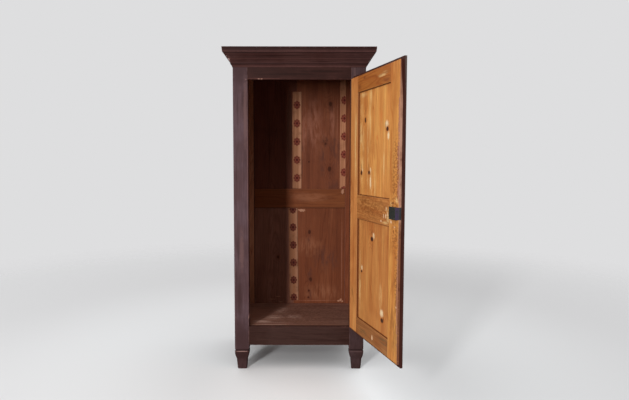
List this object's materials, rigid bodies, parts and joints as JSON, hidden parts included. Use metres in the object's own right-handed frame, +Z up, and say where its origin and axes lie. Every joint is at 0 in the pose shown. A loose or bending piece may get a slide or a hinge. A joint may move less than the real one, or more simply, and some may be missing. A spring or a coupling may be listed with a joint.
{
  "type": "bonnetiere cabinet",
  "caption": "Tall narrow cupboard on tapered feet, with a rebated panelled door on long-barrel hinges, framed sides and back, a mitred cornice and a rim lock.",
  "frame": {"origin": "on the floor, at the centre of the carcass's footprint (the open door not counted)", "axes": "+Z up, the front faces -Y, +X to the right seen from the front, where the door is hung"},
  "size_m": [0.9162, 1.1494, 1.842],
  "materials": {
    "oxblood_paint": "aged satin paint",
    "door_pine": "bare aged pine",
    "stained_softwood": "red-brown stained",
    "floor_boards": "worn and dusty",
    "raw_softwood": "bare",
    "flowered_paper": "faded printed paper",
    "dark_iron": "oiled black",
    "steel": "dull"
  },
  "bodies": {
    "carcass": {"back_board_lower_left": "stained_softwood", "back_board_lower_right": "stained_softwood", "back_board_upper_left": "stained_softwood", "back_board_upper_right": "stained_softwood", "back_bottom_rail": "stained_softwood", "back_mid_rail": "stained_softwood", "back_top_rail": "stained_softwood", "cornice_front": "oxblood_paint", "cornice_left": "oxblood_paint", "cornice_right": "oxblood_paint", "floor_board_1": "floor_boards", "floor_board_2": "floor_boards", "floor_board_3": "floor_boards", "floor_cleat_left": "raw_softwood", "floor_cleat_right": "raw_softwood", "front_bottom_rail": "oxblood_paint", "front_post_left": "oxblood_paint", "front_post_right": "oxblood_paint", "front_top_rail": "oxblood_paint", "hinge_lower_pin": "steel", "hinge_lower_post_leaf": "dark_iron", "hinge_post_nails": "steel", "hinge_upper_pin": "steel", "hinge_upper_post_leaf": "dark_iron", "keeper": "dark_iron", "keeper_screws": "steel", "paper_strip_corner": "flowered_paper", "paper_strip_lower": "flowered_paper", "paper_strip_upper": "flowered_paper", "rear_post_left": "oxblood_paint", "rear_post_right": "oxblood_paint", "side_bottom_rail_left": "oxblood_paint", "side_bottom_rail_right": "oxblood_paint", "side_mid_rail_left": "oxblood_paint", "side_mid_rail_right": "oxblood_paint", "side_panel_lower_left": "oxblood_paint", "side_panel_lower_right": "oxblood_paint", "side_panel_upper_left": "oxblood_paint", "side_panel_upper_right": "oxblood_paint", "side_top_rail_left": "oxblood_paint", "side_top_rail_right": "oxblood_paint", "top_board_1": "raw_softwood", "top_board_2": "raw_softwood"},
    "door": {"door_bottom_rail": "door_pine", "door_hinge_stile": "door_pine", "door_lock_stile": "door_pine", "door_mid_rail": "door_pine", "door_panel_lower": "door_pine", "door_panel_upper": "door_pine", "door_top_rail": "door_pine", "escutcheon": "dark_iron", "hinge_door_nails": "steel", "hinge_lower_door_leaf": "dark_iron", "hinge_upper_door_leaf": "dark_iron", "lock_case": "dark_iron", "lock_plate": "dark_iron", "lock_screws": "steel", "lock_spring": "steel"},
    "bolt": {"lock_bolt": "steel"}
  },
  "joints": [
    {"name": "door_hinge", "type": "hinge", "parent": "carcass", "child": "door", "pos_m": [0.307, -0.2885, 0.98], "axis": [0, 0, 1], "range_deg": [-107, 68]},
    {"name": "bolt_slide", "type": "slide", "parent": "door", "child": "bolt", "axis": [0.2924, -0.9563, 0], "range_m": [0, 0.012]}
  ]
}
